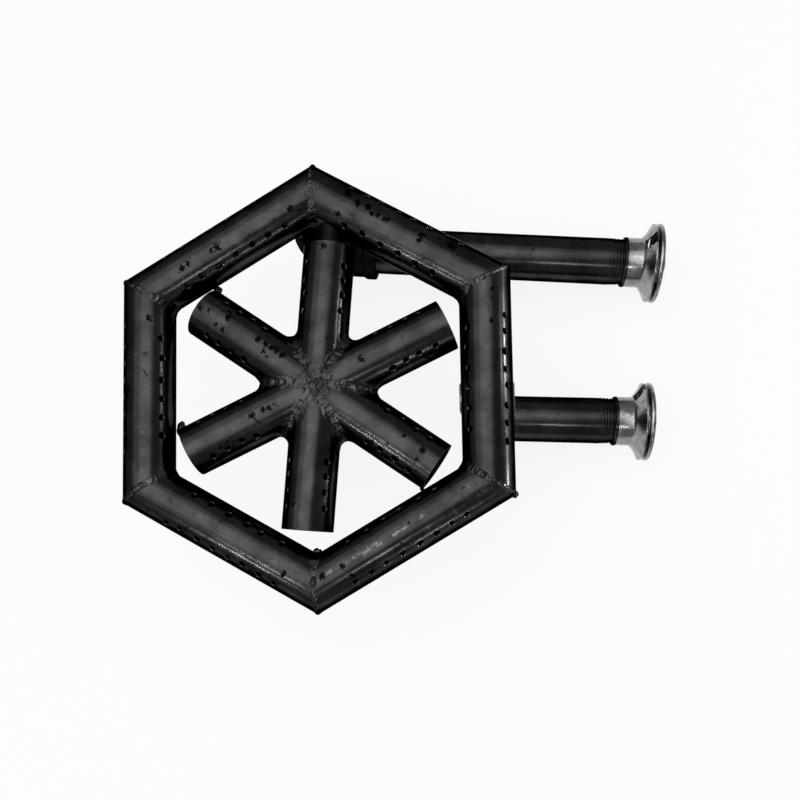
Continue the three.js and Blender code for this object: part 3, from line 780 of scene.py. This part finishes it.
def threadedPipe(start, end):
    tube = pipeBlank(start, end)
    threadStart = end - inlet["threadLength"]
    everything = tube.verts[:] + tube.edges[:] + tube.faces[:]
    bmesh.ops.bisect_plane(
        tube, geom=everything, plane_co=(threadStart, 0, 0), plane_no=(1, 0, 0)
    )
    for vertex in tube.verts:
        if math.hypot(vertex.co.y, vertex.co.z) > pipe["bore"] + 1:
            atTip = vertex.co.x > end - thread["chamferLength"]
            slimmed(vertex, taperAt(vertex.co.x, end) + (thread["chamfer"] if atTip else 0))
    ridge = bmesh.new()
    first = threadStart + thread["runIn"]
    root, crest = pipe["radius"] - thread["root"], pipe["radius"] - thread["crest"]
    width = thread["pitch"] * thread["width"]
    outline = ((-width, root), (width, root), (0, crest))
    ridge.faces.new([ridge.verts.new((first + x, 0, z)) for x, z in outline])
    steps = thread["steps"] * thread["turns"]
    advance = (thread["pitch"] / thread["steps"], 0, 0)
    spun(ridge, (1, 0, 0), full * thread["turns"], steps, dvec=advance)
    for vertex in ridge.verts:
        slimmed(vertex, taperAt(vertex.co.x, end) - thread["proud"])
    bmesh.ops.recalc_face_normals(ridge, faces=ridge.faces)
    addTo(tube, ridge)
    return tube


for place in inlets:
    tube = threadedPipe(place["start"], place["reach"] + inlet["engaged"])
    if place is sideInlet:
        for vertex in tube.verts:
            if vertex.co.x < 0:
                vertex.co.x = vertex.co.z + pipe["gap"]
    name, node = place["name"] + "_pipe", place["name"] + "_inlet_pipe"
    finished(name, tube, inletFrame(place), [lacquer], node, sharp=25)
print("inlet pipes threaded")

# The band's outline as (along, out): its mouth, then its shoulder and foot from its inner end
elbow = {
    "leg": 15.5, "bend": 20.5, "radius": 19.7, "band": 21.2, "bandWidth": 8.5, "steps": 26,
    "mouth": ((0, -1.1), (0.35, -0.35), (1.1, 0)), "shoulder": ((-1.6, 0), (-0.5, -0.5)),
    "foot": ((0.4, 0.25), (1.4, 0)),
}


# Elbow spun as a straight sleeve, then run up one leg, round the bend and out along the other
def bentElbow():
    arc = elbow["bend"] * math.pi / 2
    length = 2 * elbow["leg"] + arc
    rings = [elbow["leg"] + arc * i / elbow["steps"] for i in range(elbow["steps"] + 1)]
    band, wide, body = elbow["band"], elbow["bandWidth"], elbow["radius"]
    half = [(0, inlet["socket"])] + [(along, band + out) for along, out in elbow["mouth"]]
    half += [(wide + along, band + out) for along, out in elbow["shoulder"]]
    half += [(wide + along, body + out) for along, out in elbow["foot"]]
    profile = half + [(along, body) for along in rings]
    profile += [(length - along, radius) for along, radius in reversed(half)]
    profile += [(length - elbow["leg"], inlet["socket"])]
    profile += [(along, pipe["bore"]) for along in reversed(rings)]
    profile += [(elbow["leg"], inlet["socket"])]
    bm = turnedSolid(profile, pipe["steps"])
    for vertex in bm.verts:
        along = vertex.co.x - elbow["leg"]
        turn = min(max(along / elbow["bend"], 0), math.pi / 2)
        radius = elbow["bend"] - vertex.co.z
        vertex.co.x = elbow["bend"] - radius * math.cos(turn) + max(along - arc, 0)
        vertex.co.z = elbow["bend"] - radius * math.sin(turn) - min(along, 0)
    bmesh.ops.recalc_face_normals(bm, faces=bm.faces)
    return bm


elbowPlace = inletFrame(cornerInlet)
finished(
    "corner_elbow_casting", bentElbow(), elbowPlace, [iron], "corner_elbow", sharp=50
)
print("elbow bent")

bell = {
    "lip": 17.9, "lipWidth": 2.4, "lipEdge": 0.05, "lipInner": 16, "neck": 17.6, "neckEnd": 12,
    "rim": 27.9, "rimWidth": 1.7, "length": 21, "wall": 2.2, "throat": 13.3, "web": 2.4,
    "boss": 8.6, "bossLength": 9, "spigot": 6.5, "spigotEnd": 28.7, "jetBore": 4.3, "mouth": 16.5,
    "socket": 16.3, "socketEnd": 9.3, "power": 1.6, "steps": 120, "flare": 14, "flareClear": 0.2,
    "soft": 0.5, "fine": 0.3, "rimSoft": 0.4, "bossSoft": 0.6,
    "windowLength": 7, "windowWidth": 9.4, "windowPast": 1.2, "windowSoft": 0.8,
}
shutter = {
    "radius": 28.25, "thickness": 3.2, "gap": 1.8, "soft": 1.0, "shoulder": 0.3,
    "running": 0.3,
}
air = {
    "inner": 10.5, "outer": 22.5, "span": 58, "steps": 24, "before": 1.5, "past": 3,
    "cornerRadius": 2, "cornerTurn": 0.6,
}


# Three sectors about X that cut the air openings through web or shutter
def airCutters(back, front):
    start, end = back - air["before"], front + air["past"]
    inner, outer = air["inner"], air["outer"]
    cutters = bmesh.new()
    for k in range(3):
        sector = bmesh.new()
        turn = math.radians(60 + 120 * k - air["span"] / 2)
        outline = ((start, inner), (end, inner), (end, outer), (start, outer))
        sector.faces.new([
            sector.verts.new((along, radius * math.sin(turn), radius * math.cos(turn)))
            for along, radius in outline
        ])
        spun(sector, (-1, 0, 0), math.radians(air["span"]), air["steps"])
        bmesh.ops.recalc_face_normals(sector, faces=sector.faces)
        lengthwise = [
            edge for edge in sector.edges
            if abs(edge.verts[0].co.x - edge.verts[1].co.x) > 1
            and edge.calc_face_angle(0) > air["cornerTurn"]
        ]
        bevelled(sector, lengthwise, air["cornerRadius"], 4)
        addTo(cutters, sector)
    return cutters


# Bell with its taper socket at X = 0, flare, rim, web, boss and the spigot that the disc turns on
def mixerBell(windowTurn):
    lip, lipWidth, neck, rim = bell["lip"], bell["lipWidth"], bell["neck"], bell["rim"]
    length, boss, spigot = bell["length"], bell["boss"], bell["spigot"]
    soft, fine, rimSoft, bossSoft = (bell[key] for key in ("soft", "fine", "rimSoft", "bossSoft"))
    flareEnd = length - bell["rimWidth"]
    flare = []
    for i in range(bell["flare"] + 1):
        share = i / bell["flare"]
        along = bell["neckEnd"] + (flareEnd - bell["neckEnd"]) * share
        flare.append((along, neck + (rim - soft - neck) * share ** bell["power"]))
    inside = [(along, max(radius - bell["wall"], bell["throat"])) for along, radius in flare[2:-2]]
    webBack = length - bell["web"]
    bossBack = length - bell["bossLength"]
    profile = [
        (0, bell["mouth"]), (0, lip - soft), (soft, lip), (lipWidth - fine, lip),
        (lipWidth, lip - fine), (lipWidth + 2 * bell["lipEdge"], neck),
    ]
    profile += flare
    profile += [
        (flareEnd + fine, rim), (length - rimSoft, rim), (length, rim - rimSoft),
        (length, spigot), (bell["spigotEnd"] - fine, spigot), (bell["spigotEnd"], spigot - fine),
        (bell["spigotEnd"], bell["jetBore"]), (bossBack, bell["jetBore"]),
        (bossBack, boss - bossSoft), (bossBack + bossSoft, boss),
        (webBack, boss), (webBack, inside[-1][1]),
    ]
    profile += [point for point in reversed(inside) if point[0] < webBack - bell["flareClear"]]
    profile += [
        (bell["neckEnd"], bell["throat"]), (bell["socketEnd"], bell["throat"]),
        (bell["socketEnd"], bell["socket"]),
    ]
    body = carved(turnedSolid(profile, bell["steps"]), airCutters(webBack, length))
    windowAt = flareEnd + bell["windowPast"] - bell["windowLength"] / 2
    windowSize = (bell["windowLength"], bell["windowWidth"], rim)
    for sign in (1, -1):
        window = bmesh.new()
        bmesh.ops.create_cube(window, size=1)
        bmesh.ops.scale(window, verts=window.verts, vec=windowSize)
        bmesh.ops.translate(window, verts=window.verts, vec=(windowAt, 0, sign * rim))
        softEdges(window, bell["windowSoft"], 3)
        window.transform(Matrix.Rotation(math.radians(windowTurn), 4, "X"))
        body = carved(body, window)
    return body


def shutterDisc():
    back = bell["length"] + shutter["gap"]
    front = back + shutter["thickness"]
    bore = bell["spigot"] + shutter["running"]
    edge, soft = shutter["radius"], shutter["soft"]
    shoulder = soft * shutter["shoulder"]
    profile = [
        (back, bore), (back, edge - soft), (back + shoulder, edge - shoulder), (back + soft, edge),
        (front - soft, edge), (front - shoulder, edge - shoulder), (front, edge - soft),
        (front, bore),
    ]
    return carved(turnedSolid(profile, bell["steps"]), airCutters(back, front))


hexagon = {"drop": 0.12, "slope": 0.6, "clear": 0.05, "steps": 48}


# Hexagon about X with its corners turned off
def hexagonHead(flats, start, end):
    bm = bmesh.new()
    stand = Matrix.Translation(((start + end) / 2, 0, 0)) @ Matrix.Rotation(math.pi / 2, 4, "Y")
    reach = flats / math.sqrt(3)
    bmesh.ops.create_cone(
        bm, cap_ends=True, segments=6, radius1=reach, radius2=reach, depth=end - start, matrix=stand
    )
    drop = reach * hexagon["drop"]
    slope, clear = drop * hexagon["slope"], reach + hexagon["clear"]
    turned = turnedSolid([
        (start, 0), (start, reach - drop), (start + slope, clear), (end - slope, clear),
        (end, reach - drop), (end, 0),
    ], hexagon["steps"])
    return carved(bm, turned, "INTERSECT")


jet = {
    "flats": 11, "back": 29.0, "head": 1.8, "under": 0.9, "shank": 4, "socket": 2.9,
    "socketDepth": 9, "cone": 1.2, "orifice": 0.7, "tip": 2.2, "tipLength": 4, "tipSoft": 0.3,
    "length": 19, "steps": 48,
}


def gasJet():
    front = jet["back"] + jet["head"]
    nose = front - jet["length"]
    deep = front - jet["socketDepth"]
    shank = turnedSolid([
        (nose, jet["orifice"]), (nose, jet["tip"] - jet["tipSoft"]),
        (nose + jet["tipSoft"], jet["tip"]), (nose + jet["tipLength"], jet["shank"]),
        (front - jet["under"], jet["shank"]), (front - jet["under"], jet["socket"]),
        (deep, jet["socket"]), (deep - jet["cone"], jet["orifice"]),
    ], jet["steps"])
    plug = roundBar(deep, front + 2, jet["socket"], jet["steps"])
    addTo(shank, carved(hexagonHead(jet["flats"], jet["back"], front), plug))
    return shank


washer = {"back": 21.3, "front": 22.5, "radius": 10, "soft": 0.2, "steps": 64}
nut = {"flats": 17, "thickness": 2.1, "back": 26.3, "steps": 64}
fastenerBore = bell["spigot"] + shutter["running"]


def washerRing():
    back, front, radius, soft = (washer[key] for key in ("back", "front", "radius", "soft"))
    return turnedSolid([
        (back, fastenerBore), (front, fastenerBore), (front, radius - soft),
        (front - soft, radius), (back + soft, radius), (back, radius - soft),
    ], washer["steps"])


def nutBlock():
    front = nut["back"] + nut["thickness"]
    plug = roundBar(nut["back"] - 1, front + 1, fastenerBore, nut["steps"])
    return carved(hexagonHead(nut["flats"], nut["back"], front), plug)


plate = cloudedMetal("plated steel", plateLook)
brass = cloudedMetal("tarnished brass", brassLook)

# The lip's back face and outer edge carry lacquer like the pipe
for place in inlets:
    which = place["name"]
    turn = Matrix.Rotation(math.radians(-place["turn"]), 4, "X")
    spot = inletFrame(place) @ Matrix.Translation((place["reach"], 0, 0)) @ turn
    axis = (spot.to_3x3() @ Vector((1, 0, 0))).normalized()
    metal = castAluminium(f"{which} mixer aluminium", aluminiumLook, spot.translation / mm, axis)
    casting = mixerBell(place["windowTurn"])
    for face in casting.faces:
        middle = face.calc_center_median()
        onLip = middle.x < bell["lipWidth"] + bell["lipEdge"]
        if onLip and math.hypot(middle.y, middle.z) > bell["lipInner"]:
            face.material_index = 1
    node = f"{which}_mixer_bell"
    finished(f"{which}_bell", casting, spot, [metal, lacquer], node)
    node, body = f"{which}_air_shutter", f"{which}_shutter"
    finished(f"{which}_disc", shutterDisc(), spot, [metal], node, body)
    node = f"{which}_shutter_washer"
    finished(f"{which}_washer", washerRing(), spot, [plate], node)
    finished(f"{which}_nut", nutBlock(), spot, [plate], f"{which}_shutter_nut")
    finished(f"{which}_jet", gasJet(), spot, [brass], f"{which}_gas_jet")
print("mixers fitted")

# The star's link takes this darker iron as painted shade, dark like the shade at the top corner
for name in [f"end_plate_{arm + 1}" for arm in range(6)] + ["star_link"]:
    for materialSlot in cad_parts[name].material_slots:
        materialSlot.material = iron

# Camera fitted to the photograph, which is 800 by 800
view = {
    "away": (94.45, -109.08, 531.33), "turn": (3.977, 4.068, -1.012), "lens": 37.78,
    "shift": (-0.00805, 0.11855), "sensor": 36, "near": 0.02,
}
camera = bpy.data.cameras.new("camera")
camera.sensor_width = view["sensor"]
camera.lens = view["lens"]
camera.shift_x, camera.shift_y = view["shift"]
camera.clip_start = view["near"]
cameraObject = bpy.data.objects.new("camera", camera)
cameraObject.location = ringMiddle + Vector(view["away"]) * mm
cameraObject.rotation_euler = [math.radians(angle) for angle in view["turn"]]
scene.collection.objects.link(cameraObject)
scene.camera = cameraObject

# Metres and watts: broad soft lamps overhead, small ones on a sphere round the ring's middle
studio = {
    "floor": 6.0, "floorDrop": 0.0004, "floorGrey": 0.84, "fibre": 0.02, "floorGlow": 0.87,
    "world": 0.28, "height": 1.5,
    "soft": (
        {"wide": 2.5, "deep": 2.2, "power": 17.0, "shift": (-0.4, 0.26)},
        {"wide": 1.3, "deep": 1.1, "power": 5.5, "shift": (-0.2, 0.1)},
    ),
    "lampSize": 0.06, "lampAway": 1.35,
    "lamps": (
        ((-0.62, -0.66, 1), 0.8), ((0.3, -0.8, 1), 0.7), ((-1.17, -1.24, 1), 1.1),
        ((1.5, -2.6, 1), 0.5), ((2.6, 0.6, 1), 0.6), ((2.6, 0.6, 0.16), 3.6), ((2.6, 0, 0.16), 3.6),
    ),
}

floorMesh = bmesh.new()
bmesh.ops.create_grid(floorMesh, x_segments=1, y_segments=1, size=studio["floor"])
bmesh.ops.translate(floorMesh, verts=floorMesh.verts, vec=(0, 0, -studio["floorDrop"]))
floorData = bpy.data.meshes.new("floor")
floorMesh.to_mesh(floorData)
floorMesh.free()
floor = bpy.data.objects.new("floor", floorData)
scene.collection.objects.link(floor)

# The pale floor turns partly to plain white for the eye, gloss and glass, and keeps the shadow
paper = Paint("pale floor", {"noise": {"fibre": (30, 3)}, "limits": {}})
rays = ("Is Camera Ray", "Is Glossy Ray", "Is Transmission Ray")
seen = paper.strongest([paper.node("ShaderNodeLightPath", {}, {}, ray) for ray in rays])
pale = studio["floorGrey"] + studio["fibre"]
fibre = paper.blend(paper.wave["fibre"], grey(studio["floorGrey"]), grey(pale))
matt = paper.node("ShaderNodeBsdfDiffuse", {}, {"Color": fibre})
white = paper.node("ShaderNodeEmission", {}, {"Color": grey(1.0), "Strength": 1.0})
both = paper.node("ShaderNodeMixShader", {}, {0: seen * studio["floorGlow"], 1: matt, 2: white})
paper.node("ShaderNodeOutputMaterial", {}, {"Surface": both})
floorData.materials.append(paper.material)

world = bpy.data.worlds.new("studio")
world.use_nodes = True
world.node_tree.nodes["Background"].inputs["Color"].default_value = grey(1.0)
world.node_tree.nodes["Background"].inputs["Strength"].default_value = studio["world"]
scene.world = world


def lamp(name, shape, wide, deep, power, spot):
    light = bpy.data.lights.new(name, "AREA")
    light.shape = shape
    light.size = wide
    light.size_y = deep
    light.energy = power
    lightObject = bpy.data.objects.new(name, light)
    lightObject.location = spot
    lightObject.rotation_euler = (ringMiddle - spot).to_track_quat("-Z", "Y").to_euler()
    scene.collection.objects.link(lightObject)


for number, soft in enumerate(studio["soft"]):
    spot = ringMiddle + Vector((*soft["shift"], studio["height"]))
    wide, deep, power = soft["wide"], soft["deep"], soft["power"]
    lamp(f"soft overhead {number + 1}", "RECTANGLE", wide, deep, power, spot)
for number, (way, power) in enumerate(studio["lamps"]):
    spot = ringMiddle + Vector(way).normalized() * studio["lampAway"]
    lamp(f"small lamp {number + 1}", "DISK", studio["lampSize"], studio["lampSize"], power, spot)

scene.view_settings.view_transform = "Standard"
